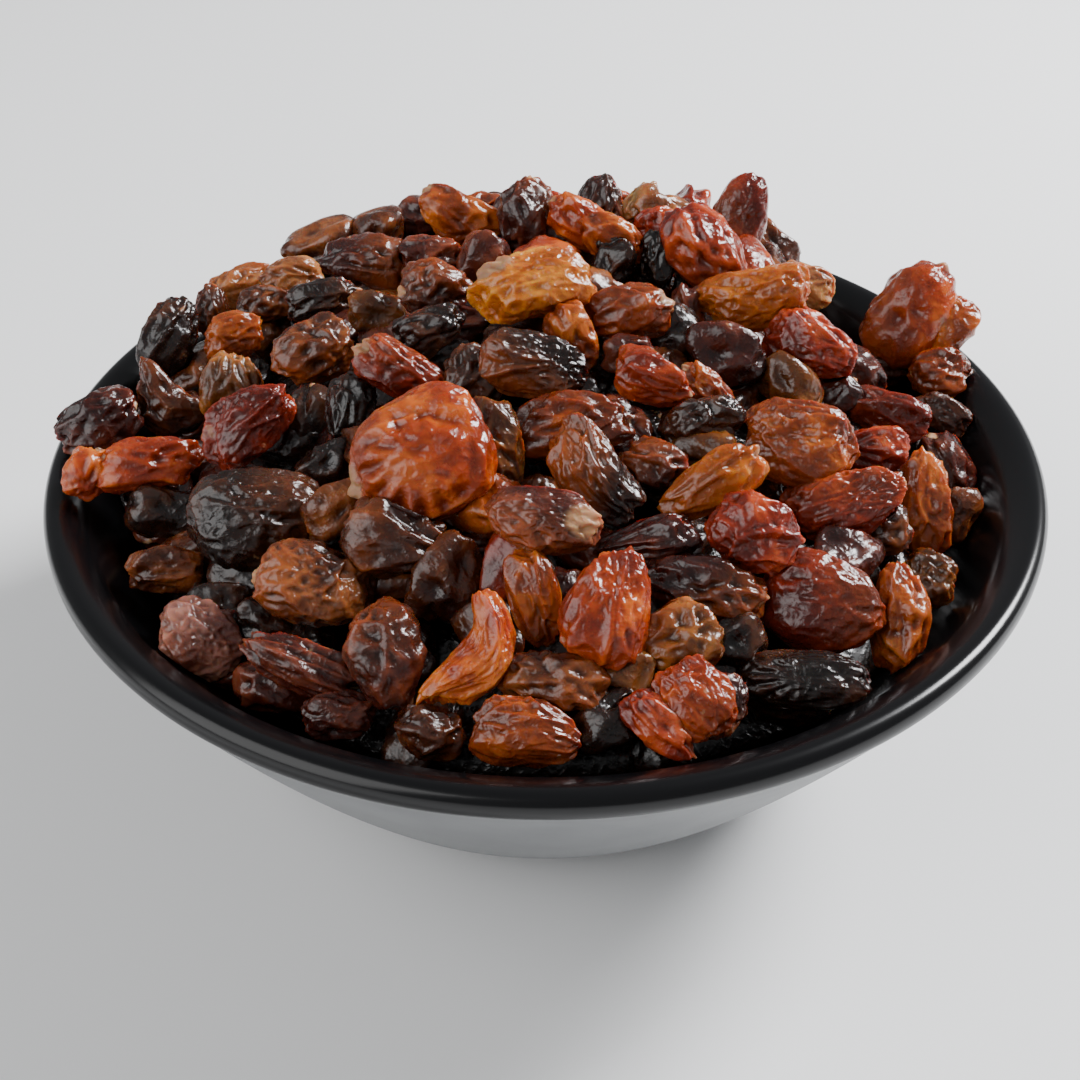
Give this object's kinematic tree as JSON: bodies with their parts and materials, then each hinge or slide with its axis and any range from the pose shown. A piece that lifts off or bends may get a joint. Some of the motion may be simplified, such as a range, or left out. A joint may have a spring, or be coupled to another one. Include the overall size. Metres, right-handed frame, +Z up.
{
  "type": "bowl of raisins",
  "caption": "Shallow round bowl with a flared wall, heaped with mixed golden, red and dark raisins, resting on a flat foot ring.",
  "frame": {"origin": "middle of the bowl's foot, on the surface that it stands on", "axes": "+Z up through the bowl's axis; -Y is the side that the picture shows"},
  "size_m": [0.11, 0.11, 0.0576],
  "materials": {
    "bowl_glaze": "glossy black glaze inside and over the rim, satin grey outside",
    "raisin_gold": "gold raisin skin, wrinkled, half glossy and a little translucent",
    "raisin_amber": "amber raisin skin, wrinkled, half glossy and a little translucent",
    "raisin_orange": "orange raisin skin, wrinkled, half glossy and a little translucent",
    "raisin_red": "red raisin skin, wrinkled, half glossy and a little translucent",
    "raisin_plum": "plum-brown raisin skin, wrinkled, half glossy and a little translucent",
    "raisin_brown": "brown raisin skin, wrinkled, half glossy and a little translucent",
    "raisin_black": "near-black raisin skin, wrinkled, half glossy and a little translucent",
    "raisin_olive": "olive raisin skin, wrinkled, half glossy and a little translucent",
    "raisin_tan": "tan raisin skin, wrinkled, half glossy and a little translucent"
  },
  "bodies": {
    "root": {"bowl": "bowl_glaze", "raisin_01_plum": "raisin_plum", "raisin_02_amber": "raisin_amber", "raisin_03_orange": "raisin_orange", "raisin_04_amber": "raisin_amber", "raisin_05_red": "raisin_red", "raisin_06_red": "raisin_red", "raisin_07_plum": "raisin_plum", "raisin_08_tan": "raisin_tan", "raisin_09_black": "raisin_black", "raisin_10_black": "raisin_black", "raisin_11_plum": "raisin_plum", "raisin_12_black": "raisin_black", "raisin_13_gold": "raisin_gold", "raisin_14_amber": "raisin_amber", "raisin_15_gold": "raisin_gold", "raisin_16_red": "raisin_red", "raisin_17_orange": "raisin_orange", "raisin_18_amber": "raisin_amber", "raisin_19_amber": "raisin_amber", "raisin_20_brown": "raisin_brown", "raisin_21_black": "raisin_black", "raisin_22_red": "raisin_red", "raisin_23_orange": "raisin_orange", "raisin_24_brown": "raisin_brown", "raisin_25_plum": "raisin_plum", "raisin_26_red": "raisin_red", "raisin_27_orange": "raisin_orange", "raisin_28_orange": "raisin_orange", "raisin_29_orange": "raisin_orange", "raisin_30_olive": "raisin_olive", "raisin_31_black": "raisin_black", "raisin_32_black": "raisin_black", "raisin_33_gold": "raisin_gold", "raisin_34_amber": "raisin_amber", "raisin_35_red": "raisin_red", "raisin_36_amber": "raisin_amber", "raisin_37_red": "raisin_red", "raisin_38_black": "raisin_black", "raisin_39_brown": "raisin_brown", "raisin_40_plum": "raisin_plum", "raisin_41_amber": "raisin_amber", "raisin_42_red": "raisin_red", "raisin_43_amber": "raisin_amber", "raisin_44_brown": "raisin_brown", "raisin_45_orange": "raisin_orange", "raisin_46_brown": "raisin_brown", "raisin_47_plum": "raisin_plum", "raisin_48_plum": "raisin_plum", "raisin_49_orange": "raisin_orange", "raisin_50_amber": "raisin_amber", "raisin_51_orange": "raisin_orange", "raisin_52_red": "raisin_red", "raisin_53_black": "raisin_black", "raisin_heap": "raisin_brown"}
  },
  "joints": []
}
